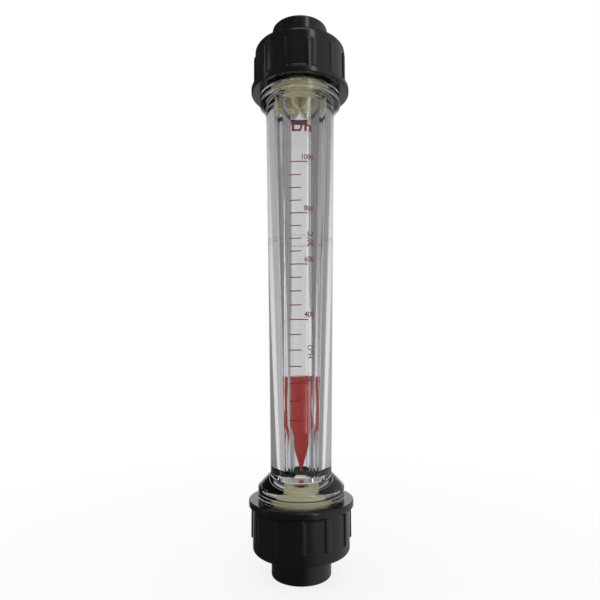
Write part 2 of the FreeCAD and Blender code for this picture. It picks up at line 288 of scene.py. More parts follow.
# ------------------------------------------------------------------ measuring tube
RIB_STOPS = ("foot", "fillet", "root", "tip", "shoulder", "corner", "crown", "centre")
GUIDE_RIBS = 4
RIB_PITCH = math.tau / GUIDE_RIBS
RIB_HALF = math.radians(9.5)    # half of a rib's share of the circle, where the section is plain
WALL_COLUMNS = 36
FULL_SPREAD = 1.13 * MM         # past the widest bore, where a rib has its whole spread
RIB_SOFT = 0.35 * MM            # fillet at a rib's foot
SEAT_GAP = 0.1 * MM             # between the float's cone and its ledges
LEDGE_BLEND = 1.0 * MM          # height over which a ledge starts and ends
COUNTERBORE_R = 18.5 * MM       # takes the stop
STOP_DEPTH = 18.5 * MM          # end face to the floor of the counterbore
BORE_STEP = 1.3 * MM            # height of the plain step between the upper stop and the ribs
STEP_BACK = 0.3 * MM            # how far that step stands back from the bore
INLET_RECESS_R = 14.7 * MM
EDGE = 0.4 * MM                 # broken edges inside the tube
THREAD_START = 0.6 * MM         # end face to the thread
THREAD_RELIEF = 2.0 * MM        # plain neck between thread and collar
THREAD_RINGS = 14.0             # rings of the skin to one turn of the thread
RUN_OUT = 0.8 * MM              # height over which the thread fades in and out
NECK_DEPTH = 0.3 * MM           # the neck lies below the thread's root
# height from the middle of the mould line and depth of its groove, in millimetres
WITNESS = ((-0.30, 0.0), (-0.15, 0.15), (0.15, 0.15), (0.30, 0.0))


def tube_columns():
    """One entry per column round the tube: (rib number, side, place on rib) or wall share."""
    columns = []
    for rib in range(GUIDE_RIBS):
        for stop in RIB_STOPS:
            columns.append((rib, -1.0, stop, 0.0))
        for stop in RIB_STOPS[-2::-1]:
            columns.append((rib, 1.0, stop, 0.0))
        for k in range(WALL_COLUMNS):
            columns.append((rib, 0.0, "wall", (k + 1.0) / (WALL_COLUMNS + 1.0)))
    return columns


def column_angles(sizes, columns):
    """Angles of the columns where the section is a plain circle."""
    angles = []
    last = len(RIB_STOPS) - 1
    for rib, side, stop, share in columns:
        centre = sizes.rib_azimuth + rib * RIB_PITCH
        if stop == "wall":
            angles.append(centre + RIB_HALF + (RIB_PITCH - 2.0 * RIB_HALF) * share)
        else:
            angles.append(centre + side * RIB_HALF / last * (last - RIB_STOPS.index(stop)))
    return angles


def ribbed_section(sizes, columns, wall_r, tip_r, z):
    """Bore section with four guide ribs, their round tips on a circle of radius tip_r.

    Where the ribs reach in past the guide circle they carry the float, and are squared off.
    """
    half_tip = sizes.rib_tip_width / 2.0
    full_r = sizes.bore_r_high + FULL_SPREAD
    slope = (sizes.rib_spread / 2.0) / (full_r - sizes.guide_r - half_tip)
    soft = min(RIB_SOFT, 0.4 * (wall_r - tip_r))
    roundness = min(1.0, max(0.0, (tip_r - sizes.seat_r) / (sizes.guide_r - sizes.seat_r)))
    tip_rise = soft + (min(half_tip, 0.7 * (wall_r - tip_r)) - soft) * roundness

    def half(reach):
        return half_tip + slope * max(0.0, reach - sizes.guide_r - half_tip)

    def on_tip(degrees, square_u, square_rise):
        """Point of the tip: on its half round, or on the squared ledge."""
        turn = math.radians(degrees)
        u = square_u + (half_tip * math.cos(turn) - square_u) * roundness
        rise = square_rise + (tip_rise * (1.0 - math.sin(turn)) - square_rise) * roundness
        return u, tip_r + rise

    foot_half = half(wall_r) + soft
    foot_angle = math.asin(foot_half / wall_r)
    wall_y = math.sqrt(wall_r ** 2 - foot_half ** 2)
    stops = {
        "foot": (foot_half, wall_y),
        "fillet": (half(wall_r) + 0.3 * soft, wall_y - 0.3 * soft),
        "root": (half(wall_y - soft), max(wall_y - soft, tip_r + tip_rise)),
        "tip": (half_tip, tip_r + tip_rise),
        "shoulder": on_tip(22.5, half_tip - 0.05 * soft, 0.6 * soft),
        "corner": on_tip(45.0, half_tip - 0.3 * soft, 0.3 * soft),
        "crown": on_tip(67.5, half_tip - soft, 0.0),
        "centre": (0.0, tip_r),
    }
    points = []
    for rib, side, stop, share in columns:
        centre = sizes.rib_azimuth + rib * RIB_PITCH
        if stop == "wall":
            angle = centre + foot_angle + (RIB_PITCH - 2.0 * foot_angle) * share
            points.append(polar(wall_r, angle, z))
        else:
            u, reach = stops[stop]
            points.append(across(side * u, reach, centre, z))
    return points


def measuring_tube_rings(sizes, thread):
    """Rings of the tube, up its outside from the lower end face and down its bore."""
    columns = tube_columns()
    angles = column_angles(sizes, columns)
    half_length = (tube_high.z - tube_low.z) / 2.0
    collar_r = tube_high.x
    collar_end = half_length - sizes.thread_length
    collar_start = collar_end - sizes.collar_thickness
    slope = (sizes.outer_r_high - sizes.outer_r_low) / (2.0 * collar_start)
    root_r = thread.mean_r - thread.depth / 2.0
    neck_r = root_r - NECK_DEPTH

    def outside(z):
        return sizes.outer_r_low + slope * (z + collar_start)

    def circle(radius, z):
        return [polar(radius, a, z + MIDDLE) for a in angles]

    def threaded(z, low, high):
        fade = min(1.0, (z - low) / RUN_OUT, (high - z) / RUN_OUT)
        ring = []
        for a in angles:
            r = thread.mean_r + thread.depth / 2.0 * thread_wave(a, z + MIDDLE, thread.pitch)
            ring.append(polar(root_r + (r - root_r) * max(0.0, fade), a, z + MIDDLE))
        return ring

    def thread_rings(low, high):
        count = round((high - low) / (thread.pitch / THREAD_RINGS))
        return [threaded(low + (high - low) * k / count, low, high) for k in range(count + 1)]

    # conical shoulders run from the plain tube to the collars
    low_neck = collar_start - (collar_r - sizes.outer_r_low)
    high_neck = collar_start - (collar_r - sizes.outer_r_high)
    high_run = thread_rings(collar_end + THREAD_RELIEF, half_length - THREAD_START)
    low_run = thread_rings(-half_length + THREAD_START, -collar_end - THREAD_RELIEF)
    plain = [
        (neck_r, -collar_end, 0.0),
        (collar_r, -collar_end, 0.4 * MM),
        (collar_r, -collar_start, 1.2 * MM),
        (outside(-low_neck), -low_neck, 1.5 * MM),
        (outside(high_neck), high_neck, 1.5 * MM),
        (collar_r, collar_start, 1.2 * MM),
        (collar_r, collar_end, 0.4 * MM),
        (neck_r, collar_end, 0.0),
    ]
    outline = softened(plain)
    witness = []
    for offset, depth in WITNESS:
        z = sizes.witness_height + offset * MM
        witness.append(Vector((outside(z) - depth * MM, z)))
    split = next(i for i, p in enumerate(outline) if p.y > sizes.witness_height)
    outline[split:split] = witness

    chamfer_r = root_r - EDGE
    chamfer_z = half_length - 0.5 * MM
    rings = [circle(COUNTERBORE_R + EDGE, -half_length), circle(chamfer_r, -half_length),
             circle(root_r, -chamfer_z)]
    rings += low_run
    rings += [circle(neck_r, -collar_end - NECK_DEPTH)]
    rings += [circle(p.x, p.y) for p in outline]
    rings += [circle(neck_r, collar_end + NECK_DEPTH)]
    rings += high_run
    rings += [circle(root_r, chamfer_z), circle(chamfer_r, half_length)]

    # inside, from the top down
    stop_start = half_length - STOP_DEPTH
    bore_end = stop_start - BORE_STEP
    bore_slope = (sizes.bore_r_high - sizes.bore_r_low) / (2.0 * collar_start)

    def bore(z):
        return sizes.bore_r_low + bore_slope * (z + collar_start)

    tip = float_tip - MIDDLE
    cone = float_tip_slope()
    seat_low = tip + (sizes.seat_r - SEAT_GAP) / cone
    seat_high = tip + (sizes.guide_r - SEAT_GAP) / cone

    def tips(z):
        """Radius of the rib tips, which close in on the float's cone over the ledges."""
        if z <= seat_low:
            return sizes.seat_r
        if z >= seat_high:
            return sizes.guide_r
        widened = (sizes.guide_r - sizes.seat_r) * (z - seat_low) / (seat_high - seat_low)
        return sizes.seat_r + widened

    step_r = bore(bore_end) + STEP_BACK
    recess_top = -bore_end + sizes.recess_height
    rings += [circle(COUNTERBORE_R + EDGE, half_length)]
    rings += [circle(COUNTERBORE_R, z) for z in (half_length - EDGE, half_length - 3.0 * EDGE,
                                                 stop_start + EDGE, stop_start)]
    rings += [circle(step_r, stop_start), circle(step_r, bore_end + 0.1 * MM)]
    for z in (bore_end, bore_end - EDGE, bore_end / 2.0, 0.0, -collar_start / 2.0,
              seat_high + LEDGE_BLEND, seat_high, seat_low, seat_low - LEDGE_BLEND,
              recess_top + EDGE, recess_top):
        rings.append(ribbed_section(sizes, columns, bore(z), tips(z), z + MIDDLE))
    rings += [circle(INLET_RECESS_R - EDGE, recess_top - 0.05 * MM)]
    rings += [circle(INLET_RECESS_R, z) for z in (recess_top - EDGE, -stop_start + EDGE,
                                                  -stop_start)]
    rings += [circle(COUNTERBORE_R, z) for z in (-stop_start, -stop_start - EDGE,
                                                 -half_length + 3.0 * EDGE, -half_length + EDGE)]
    return rings


# ------------------------------------------------------------------ float
HEAD_BAND = 2.0 * MM            # full-width band under the cap
FLARE = 10.2 * MM               # waist to that band
FOOT_BAND = 5.8 * MM            # full-width band over the cone
CAVITY_R = 3.7 * MM             # holds the ballast
PLUG_R = 3.65 * MM              # the cap's plug in that cavity
PLUG_LENGTH = 5.0 * MM
DIMPLE_R = 2.2 * MM             # hollow in the cap's top
DIMPLE_DEPTH = 0.5 * MM
BALLAST_FIT = 0.1 * MM          # under the ballast


def float_tip_slope():
    """Radius that the float's cone gains for each metre of height."""
    sizes = bpy.context.scene.meter_float
    return sizes.foot_r / sizes.cone_length


def float_shell_outline(sizes, body_top):
    cavity_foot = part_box("float_ballast")[0].z - BALLAST_FIT
    head = body_top - HEAD_BAND
    foot = float_tip + sizes.cone_length
    return softened([
        (0.0, float_tip, 0.0),
        (0.5 * MM, float_tip + 0.3 * MM, 0.25 * MM),
        (sizes.foot_r, foot, 1.5 * MM),
        (sizes.foot_r, foot + FOOT_BAND, 1.5 * MM),
        (sizes.waist_r, head - FLARE, 30.0 * MM),
        (sizes.head_r, head, 3.0 * MM),
        (sizes.head_r, body_top, 0.15 * MM),
        (CAVITY_R, body_top, 0.0),
        (CAVITY_R, cavity_foot, 0.0),
        (0.0, cavity_foot, 0.0),
    ], steps=8, hold=0.1 * MM)


def float_plug_outline(sizes, body_top):
    plug_low = body_top - PLUG_LENGTH
    return softened([
        (0.0, plug_low, 0.0),
        (PLUG_R, plug_low, 0.3 * MM),
        (PLUG_R, body_top, 0.0),
        (sizes.head_r, body_top, 0.2 * MM),
        (sizes.head_r, float_top, 0.9 * MM),
        (DIMPLE_R + 0.4 * MM, float_top, 0.3 * MM),
        (DIMPLE_R, float_top - DIMPLE_DEPTH, 0.2 * MM),
        (0.0, float_top - DIMPLE_DEPTH, 0.0),
    ], steps=6, hold=0.08 * MM)


# ------------------------------------------------------------------ union nuts
# columns of half a grip rib 3 mm wide, foot to middle: name, sideways place in millimetres, and
# millimetres over the nut's body or, from the side on, shares of the rib's height from its top
NUT_STOPS = (("foot", 1.8, 0.0), ("fillet", 1.55, 0.12), ("root", 1.5, 0.3), ("side", 1.5, -0.5),
             ("corner", 1.36, -0.16), ("crown", 1.0, 0.0), ("centre", 0.0, 0.0))
NUT_RIB_HALF = 1.5
NUT_GAP_COLUMNS = 6
NUT_MOUTH_R = 24.6 * MM         # chamfered mouth beside the collar
NUT_TAPER = 1.6 * MM            # height over which the rim runs down to the body
NUT_TAPER_FOOT = 0.3 * MM       # step that the taper leaves over the body
NUT_RIB_STOP = 7.0 * MM         # ribs' ends below the far face
NUT_HOLE_R = 17.8 * MM          # clears the sleeve
NUT_END_WALL = 6.6 * MM         # shoulder to the far face
NUT_RELIEF_R = 23.5 * MM        # plain end of the threaded hole
NUT_MOUTH_STEP = 1.2 * MM       # near face to the thread
NUT_LEAD_R = 24.15 * MM         # where the mouth's chamfer meets the thread
NUT_THREAD_RINGS = 12.0         # rings of the skin to one turn of the thread
# how far a rib's top drops, and how far from the rib's end, in millimetres
RIB_NOSE = ((0.0, 0.7), (0.05, 0.35), (0.2, 0.12), (0.45, 0.0))


def nut_columns(count):
    """One entry per column round a nut: (rib number, side, stop) or share of a gap."""
    columns = []
    for rib in range(count):
        for i in range(len(NUT_STOPS)):
            columns.append((rib, -1.0, i, 0.0))
        for i in range(len(NUT_STOPS) - 2, -1, -1):
            columns.append((rib, 1.0, i, 0.0))
        for k in range(NUT_GAP_COLUMNS):
            columns.append((rib, 0.0, -1, (k + 1.0) / (NUT_GAP_COLUMNS + 1.0)))
    return columns


def nut_rings(sizes, thread, upper):
    """Rings of a nut, drawn for the upper end and mirrored for the lower one."""
    columns = nut_columns(sizes.ribs)
    last = len(NUT_STOPS) - 1
    pitch_angle = math.tau / sizes.ribs
    foot_angle = math.asin(NUT_STOPS[0][1] * MM / sizes.body_r)
    end = 1.0 if upper else -1.0
    turn = sizes.upper_turn if upper else 0.0
    near = nut_low.z - MIDDLE
    far = nut_high.z - MIDDLE
    rib_end = far - NUT_RIB_STOP

    def at(z):
        return MIDDLE + end * z

    angles = []
    for rib, side, i, share in columns:
        centre = turn + rib * pitch_angle
        if side == 0.0:
            angles.append(centre + foot_angle + (pitch_angle - 2.0 * foot_angle) * share)
        else:
            angles.append(centre + side * foot_angle * ((last - i) / last))

    def circle(radius, z):
        return [polar(radius, a, at(z)) for a in angles]

    def ribbed(radius, height, z):
        """Section with ribs that stand out by height from the nut's own body."""
        ring = []
        top = sizes.body_r + height
        for (rib, side, i, share), angle in zip(columns, angles):
            if side == 0.0 or height <= 0.0:
                ring.append(polar(radius, angle, at(z)))
                continue
            name, place, rise = NUT_STOPS[i]
            u = place / NUT_RIB_HALF * sizes.rib_width / 2.0
            body_y = math.sqrt(sizes.body_r ** 2 - u ** 2)
            if rise > 0.0 or name == "foot":
                reach = body_y + rise * MM
            else:
                reach = max(top + rise * sizes.rib_height, body_y)
            point = across(side * u, reach, turn + rib * pitch_angle, at(z))
            if math.hypot(point.x, point.y) < radius:
                point = polar(radius, angle, at(z))
            ring.append(point)
        return ring

    rim_far = near + sizes.rim_length
    taper_far = rim_far + NUT_TAPER
    taper_r = sizes.body_r + NUT_TAPER_FOOT
    rim_edge = softened([
        (NUT_MOUTH_R, near, 0.0),
        (sizes.rim_r, near, 0.7 * MM),
        (sizes.rim_r, rim_far, 0.7 * MM),
        (taper_r, taper_far, 0.0),
    ], steps=4)
    rings = [circle(p.x, p.y) for p in rim_edge[:-1]]
    for share in (0.55, 0.7, 0.85, 1.0):
        z = rim_far + (taper_far - rim_far) * share
        r = sizes.rim_r + (taper_r - sizes.rim_r) * share
        rings.append(ribbed(r, sizes.rib_height, z))
    for past in (0.4, 0.8):
        rings.append(ribbed(sizes.body_r, sizes.rib_height, taper_far + past * MM))
    for drop, before in RIB_NOSE:
        rings.append(ribbed(sizes.body_r, sizes.rib_height - drop * MM, rib_end - before * MM))
    for past in (0.08, 0.4):
        rings.append(circle(sizes.body_r, rib_end + past * MM))
    shoulder = far - NUT_END_WALL
    far_edge = softened([
        (sizes.body_r, rib_end + 1.0 * MM, 0.0),
        (sizes.body_r, far, 2.6 * MM),
        (NUT_HOLE_R, far, 0.5 * MM),
        (NUT_HOLE_R, shoulder, 0.0),
        (NUT_RELIEF_R, shoulder, 0.6 * MM),
        (NUT_RELIEF_R, shoulder - 2.0 * MM, 0.0),
    ], steps=6)
    rings += [circle(p.x, p.y) for p in far_edge]

    inner = far_edge[-1].y - 0.4 * MM
    mouth = near + NUT_MOUTH_STEP
    wide = thread.mean_r + thread.fit + thread.depth / 2.0
    count = round((inner - mouth) / (thread.pitch / NUT_THREAD_RINGS))
    for k in range(count + 1):
        z = inner + (mouth - inner) * k / count
        fade = max(0.0, min(1.0, (inner - z) / RUN_OUT, (z - mouth) / (2.0 * RUN_OUT)))
        ring = []
        for a in angles:
            wave = thread_wave(a, at(z), thread.pitch)
            r = thread.mean_r + thread.fit + thread.depth / 2.0 * wave
            ring.append(polar(wide + (r - wide) * fade, a, at(z)))
        rings.append(ring)
    rings.append(circle(NUT_LEAD_R, mouth - 0.3 * MM))
    return rings


# ------------------------------------------------------------------ materials
RUBBER = (0.018, 0.018, 0.018)
DARK_STEEL = (0.50, 0.51, 0.53)
BRIGHT_STEEL = (0.62, 0.63, 0.65)
DUST_LIFT = 0.15        # how much whiter a plastic is under its dust


def new_material(name):
    material = bpy.data.materials.new(name)
    material.use_nodes = True
    tree = material.node_tree
    shader = tree.nodes["Principled BSDF"]
    return material, tree, shader


def combined(tree, operation, first, second):
    """Clamped sum, or product, of two values."""
    node = tree.nodes.new("ShaderNodeMath")
    node.operation = operation
    node.use_clamp = operation == "ADD"
    tree.links.new(first, node.inputs[0])
    tree.links.new(second, node.inputs[1])
    return node.outputs["Value"]


def surface_group():
    """Fine moulding marks and handling dust that every plastic here carries."""
    group = bpy.data.node_groups.new("moulded_surface", "ShaderNodeTree")
    made = group.interface.new_socket
    for name, default in (("Ripple Scale", 120.0), ("Dust Scale", 900.0), ("Dust Amount", 0.2)):
        made(name, in_out="INPUT", socket_type="NodeSocketFloat").default_value = default
    made("Height", in_out="OUTPUT", socket_type="NodeSocketFloat")
    made("Dust", in_out="OUTPUT", socket_type="NodeSocketFloat")
    made("Cloud", in_out="OUTPUT", socket_type="NodeSocketFloat")
    nodes, links = group.nodes, group.links
    entry = nodes.new("NodeGroupInput")
    leave = nodes.new("NodeGroupOutput")
    where = nodes.new("ShaderNodeTexCoord")
    ripple = nodes.new("ShaderNodeTexNoise")
    ripple.inputs["Detail"].default_value = 2.0
    dust = nodes.new("ShaderNodeTexNoise")
    dust.inputs["Detail"].default_value = 4.0
    dust.inputs["Roughness"].default_value = 0.7
    cloud = nodes.new("ShaderNodeTexNoise")
    cloud.inputs["Scale"].default_value = 35.0
    cloud.inputs["Detail"].default_value = 3.0
    for noise in (ripple, dust, cloud):
        links.new(where.outputs["Object"], noise.inputs["Vector"])
    links.new(entry.outputs["Ripple Scale"], ripple.inputs["Scale"])
    links.new(entry.outputs["Dust Scale"], dust.inputs["Scale"])
    gate = nodes.new("ShaderNodeMapRange")
    gate.interpolation_type = "SMOOTHSTEP"
    gate.inputs["From Min"].default_value = 0.56
    gate.inputs["From Max"].default_value = 0.74
    links.new(dust.outputs["Fac"], gate.inputs["Value"])
    amount = combined(group, "MULTIPLY", gate.outputs["Result"], entry.outputs["Dust Amount"])
    links.new(ripple.outputs["Fac"], leave.inputs["Height"])
    links.new(amount, leave.inputs["Dust"])
    links.new(cloud.outputs["Fac"], leave.inputs["Cloud"])
    return group


def add_surface(tree, shader, ripple, dust_scale, dust, strength, distance):
    """Places the shared group in a material and bumps the normal with its ripple."""
    nodes, links = tree.nodes, tree.links
    marks = nodes.new("ShaderNodeGroup")
    marks.node_tree = bpy.data.node_groups["moulded_surface"]
    marks.inputs["Ripple Scale"].default_value = ripple
    marks.inputs["Dust Scale"].default_value = dust_scale
    marks.inputs["Dust Amount"].default_value = dust
    bump = nodes.new("ShaderNodeBump")
    bump.inputs["Strength"].default_value = strength
    bump.inputs["Distance"].default_value = distance
    links.new(marks.outputs["Height"], bump.inputs["Height"])
    links.new(bump.outputs["Normal"], shader.inputs["Normal"])
    return marks


def blend_colour(tree, mask, first, second, target):
    """Base colour that goes from first to second by a mask."""
    mix = tree.nodes.new("ShaderNodeMix")
    mix.data_type = "RGBA"
    mix.inputs["A"].default_value = (*first, 1.0)
    mix.inputs["B"].default_value = (*second, 1.0)
    tree.links.new(mask, mix.inputs["Factor"])
    tree.links.new(mix.outputs["Result"], target)


def blend_value(tree, mask, low, high, target):
    """Value that goes from low to high by a mask."""
    ramp = tree.nodes.new("ShaderNodeMapRange")
    ramp.inputs["To Min"].default_value = low
    ramp.inputs["To Max"].default_value = high
    tree.links.new(mask, ramp.inputs["Value"])
    tree.links.new(ramp.outputs["Result"], target)


def lighter(rgb, share):
    """A colour moved towards white by a share."""
    return tuple(c + (1.0 - c) * share for c in rgb)


def clear_plastic(colours):
    material, tree, shader = new_material("tube_clear")
    shader.inputs["Transmission Weight"].default_value = 1.0
    shader.inputs["IOR"].default_value = 1.58
    marks = add_surface(tree, shader, ripple=55.0, dust_scale=1400.0, dust=0.25, strength=0.06,
                        distance=0.0004)
    blend_colour(tree, marks.outputs["Cloud"], colours.clear,
                 tuple(c * 0.96 for c in colours.clear), shader.inputs["Base Color"])
    blend_value(tree, marks.outputs["Dust"], 0.015, 0.12, shader.inputs["Roughness"])
    return material


def solid_plastic(name, rgb, rough, coat, dust, ripple=90.0, strength=0.08):
    material, tree, shader = new_material(name)
    shader.inputs["IOR"].default_value = 1.5
    shader.inputs["Coat Weight"].default_value = coat
    shader.inputs["Coat Roughness"].default_value = 0.08
    marks = add_surface(tree, shader, ripple, dust_scale=1100.0, dust=dust, strength=strength,
                        distance=0.0003)
    blend_colour(tree, marks.outputs["Dust"], rgb, lighter(rgb, DUST_LIFT),
                 shader.inputs["Base Color"])
    blend_value(tree, marks.outputs["Cloud"], rough * 0.8, rough * 1.3,
                shader.inputs["Roughness"])
    return material


def steel_bar():
    material, tree, shader = new_material("ballast_steel")
    shader.inputs["Metallic"].default_value = 1.0
    marks = add_surface(tree, shader, ripple=400.0, dust_scale=1500.0, dust=0.1, strength=0.2,
                        distance=0.0002)
    blend_colour(tree, marks.outputs["Cloud"], DARK_STEEL, BRIGHT_STEEL,
                 shader.inputs["Base Color"])
    blend_value(tree, marks.outputs["Height"], 0.22, 0.42, shader.inputs["Roughness"])
    return material


def make_materials(colours):
    surface_group()
    clear_plastic(colours)
    solid_plastic("float_red", colours.red, rough=0.22, coat=0.3, dust=0.15)
    solid_plastic("stop_cream", colours.cream, rough=0.42, coat=0.0, dust=0.10)
    solid_plastic("union_black", colours.black, rough=0.20, coat=0.2, dust=0.10, ripple=60.0,
                  strength=0.12)
    solid_plastic("ring_rubber", RUBBER, rough=0.55, coat=0.0, dust=0.3)
    solid_plastic("scale_ink", colours.ink, rough=0.6, coat=0.0, dust=0.05)
    steel_bar()


# ------------------------------------------------------------------ printed scale
MARK_STEP = 50                  # litres an hour from mark to mark
NUMBER_STEP = 200               # litres an hour from number to number
MARK_LEFT = -6.6 * MM
MARK_RIGHT = 0.4 * MM
NUMBERED_RIGHT = 4.4 * MM       # a numbered mark is longer
NUMBER_RIGHT = 7.8 * MM
NUMBER_RISE = 1.3 * MM          # number over its mark
NUMBER_SQUEEZE = 0.84           # narrow figures
UNIT_PLACE = (-5.0 * MM, 91.8 * MM, 0.0)
UNIT_WIDTH = 11.8 * MM
UNIT_HEIGHT = 6.1 * MM
NOTE_HEIGHT = 3.6 * MM
# upright notes: text, lower and upper end over the middle and right edge, in millimetres
NOTES = (("20°C", 23.0, 31.9, 7.5), ("H₂O", -41.6, -34.2, 7.6))
STRIP = 0.6 * MM                # width of the strips that bend round the tube
INK_FOOT = 0.15                 # share of the ink's thickness that its underside floats at
# a mark's height in millimetres is a cubic of its share of the range, because the bore tapers
CUBIC, SQUARE, LINEAR, ZERO = 38.18, -83.31, 195.45, -76.84


def flow_share(flow, sizes):
    return (flow - sizes.low_flow) / (sizes.high_flow - sizes.low_flow)


def mark_height(flow, sizes):
    """Height of a flow's mark above the middle of the meter."""
    t = flow_share(flow, sizes)
    return (CUBIC * t ** 3 + SQUARE * t ** 2 + LINEAR * t + ZERO) * MM


def text_mesh(body, height, bold):
    """Mesh of a line of text, lower left corner at the origin, scaled to a height."""
    curve = bpy.data.curves.new("lettering", "FONT")
    curve.body = body
    curve.size = 1.0
    curve.offset = bold
    curve.resolution_u = 5
    obj = bpy.data.objects.new("lettering", curve)
    bpy.context.scene.collection.objects.link(obj)
    bpy.context.view_layer.update()
    mesh = bpy.data.meshes.new_from_object(obj.evaluated_get(
        bpy.context.evaluated_depsgraph_get()))
    bpy.data.objects.remove(obj)
    bpy.data.curves.remove(curve)
    xs = [v.co.x for v in mesh.vertices]
    ys = [v.co.y for v in mesh.vertices]
    factor = height / (max(ys) - min(ys))
    mesh.transform(Matrix.Scale(factor, 4) @ Matrix.Translation((-min(xs), -min(ys), 0.0)))
    return mesh


def add_flat(bm, mesh, matrix):
    """Adds a flat mesh to the print, drawn in the plane of x across and y up."""
    mesh.transform(matrix)
    bm.from_mesh(mesh)
    bpy.data.meshes.remove(mesh)


def text_width(mesh):
    return max(v.co.x for v in mesh.vertices)


def add_mark(bm, left, right, z, thick):
    made = bmesh.ops.create_grid(bm, x_segments=8, y_segments=1, size=0.5)["verts"]
    bmesh.ops.scale(bm, vec=(right - left, thick, 1.0), verts=made)
    bmesh.ops.translate(bm, vec=((left + right) / 2.0, z, 0.0), verts=made)


def wrap_print(bm, surface, lift):
    """Cuts the flat print into narrow strips, wraps it on the tube and gives it thickness."""
    reach = max(abs(v.co.x) for v in bm.verts)
    cuts = int(reach / STRIP) + 1
    for k in range(-cuts, cuts + 1):
        geom = bm.verts[:] + bm.edges[:] + bm.faces[:]
        bmesh.ops.bisect_plane(bm, geom=geom, plane_co=(k * STRIP, 0, 0), plane_no=(1, 0, 0),
                               dist=WELD)
    bmesh.ops.remove_doubles(bm, verts=bm.verts, dist=10.0 * WELD)
    bmesh.ops.dissolve_degenerate(bm, edges=bm.edges, dist=10.0 * WELD)
    top = bmesh.ops.extrude_face_region(bm, geom=bm.faces[:])["geom"]
    raised = {v for v in top if isinstance(v, bmesh.types.BMVert)}
    for vert in bm.verts:
        radius = surface(vert.co.y) + (lift if vert in raised else INK_FOOT * lift)
        vert.co = polar(radius, vert.co.x / radius, vert.co.y + MIDDLE)


def scale_print(sizes, tube):
    """Marks, numbers, unit and notes, printed on the front of the tube."""
    bm = bmesh.new()
    half = (tube_high.z - tube_low.z) / 2.0 - tube.thread_length - tube.collar_thickness
    slope = (tube.outer_r_high - tube.outer_r_low) / (2.0 * half)

    def surface(z):
        return tube.outer_r_low + slope * (z + half)

    for flow in range(sizes.low_flow, sizes.high_flow + 1, MARK_STEP):
        numbered = flow % NUMBER_STEP == 0
        z = mark_height(flow, sizes)
        add_mark(bm, MARK_LEFT, NUMBERED_RIGHT if numbered else MARK_RIGHT, z, sizes.line_width)
        if not numbered:
            continue
        digits = text_mesh(str(flow), sizes.digit_height, sizes.boldness)
        digits.transform(Matrix.Scale(NUMBER_SQUEEZE, 4, (1, 0, 0)))
        left = NUMBER_RIGHT - text_width(digits)
        add_flat(bm, digits, Matrix.Translation((left, z + NUMBER_RISE, 0.0)))
    unit = text_mesh("L/h", UNIT_HEIGHT, 2.0 * sizes.boldness)
    unit.transform(Matrix.Scale(UNIT_WIDTH / text_width(unit), 4, (1, 0, 0)))
    add_flat(bm, unit, Matrix.Translation(UNIT_PLACE))
    quarter = Matrix.Rotation(math.pi / 2.0, 4, "Z")
    for body, low, high, right in NOTES:
        words = text_mesh(body, NOTE_HEIGHT, sizes.boldness)
        words.transform(Matrix.Scale((high - low) * MM / text_width(words), 4, (1, 0, 0)))
        add_flat(bm, words, Matrix.Translation((right * MM, low * MM, 0.0)) @ quarter)
    wrap_print(bm, surface, sizes.ink_lift)
    return finished("scale_print", bm)


# ------------------------------------------------------------------ operators
class BuildMaterials(bpy.types.Operator):
    """Make the plastics, steel, rubber and ink"""

    bl_idname = "meter.materials"
    bl_label = "Make materials"

    def execute(self, context):
        make_materials(context.scene.meter_colours)
        carried = {"upper_stop": "stop_cream", "lower_stop": "stop_cream",
                   "float_ballast": "ballast_steel", "upper_o_ring": "ring_rubber",
                   "lower_o_ring": "ring_rubber", "upper_socket": "union_black",
                   "lower_socket": "union_black"}
        for node, name in carried.items():
            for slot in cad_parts[node].material_slots:
                slot.material = bpy.data.materials[name]
        return {"FINISHED"}


class BuildTube(bpy.types.Operator):
    """Build the clear measuring tube with its guide ribs and threads"""

    bl_idname = "meter.tube"
    bl_label = "Measuring tube"

    def execute(self, context):
        scene = context.scene
        bm = bmesh.new()
        skin(bm, measuring_tube_rings(scene.meter_tube, scene.meter_thread))
        obj = finished("clear_tube", bm)
        dressed(obj, bpy.data.materials["tube_clear"], "clear_plastic", "tube",
                "measuring_tube")
        return {"FINISHED"}


class BuildFloat(bpy.types.Operator):
    """Build the float's body and its cap"""

    bl_idname = "meter.float"
    bl_label = "Float"

    def execute(self, context):
        sizes = context.scene.meter_float
        red = bpy.data.materials["float_red"]
        body_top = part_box("float_body")[1].z
        shell = turned("float_shell", float_shell_outline(sizes, body_top))
        dressed(shell, red, "red_plastic", "float", "float_body")
        plug = turned("float_plug", float_plug_outline(sizes, body_top))
        dressed(plug, red, "red_plastic", "float", "float_cap")
        return {"FINISHED"}


class BuildNuts(bpy.types.Operator):
    """Build the two ribbed union nuts"""

    bl_idname = "meter.nuts"
    bl_label = "Union nuts"

    def execute(self, context):
        scene = context.scene
        for name, body, upper in (("upper_nut", "outlet_nut", True),
                                  ("lower_nut", "inlet_nut", False)):
            bm = bmesh.new()
            skin(bm, nut_rings(scene.meter_nut, scene.meter_thread, upper))
            obj = finished(name, bm)
            node = "upper_union_nut" if upper else "lower_union_nut"
            dressed(obj, bpy.data.materials["union_black"], "black_plastic", body, node)
        return {"FINISHED"}


class BuildScale(bpy.types.Operator):
    """Print the litres-an-hour scale on the front of the tube"""

    bl_idname = "meter.scale"
    bl_label = "Printed scale"

    def execute(self, context):
        scene = context.scene
        obj = scale_print(scene.meter_scale, scene.meter_tube)
        dressed(obj, bpy.data.materials["scale_ink"], "red_plastic", "tube")
        return {"FINISHED"}


class BuildStage(bpy.types.Operator):
    """Set the floor, the studio light and the camera"""

    bl_idname = "meter.stage"
    bl_label = "Stage"

    def execute(self, context):
        scene = context.scene
        studio_floor()
        studio_light(scene)
        studio_camera(scene)
        scene.view_settings.view_transform = "Standard"
        return {"FINISHED"}


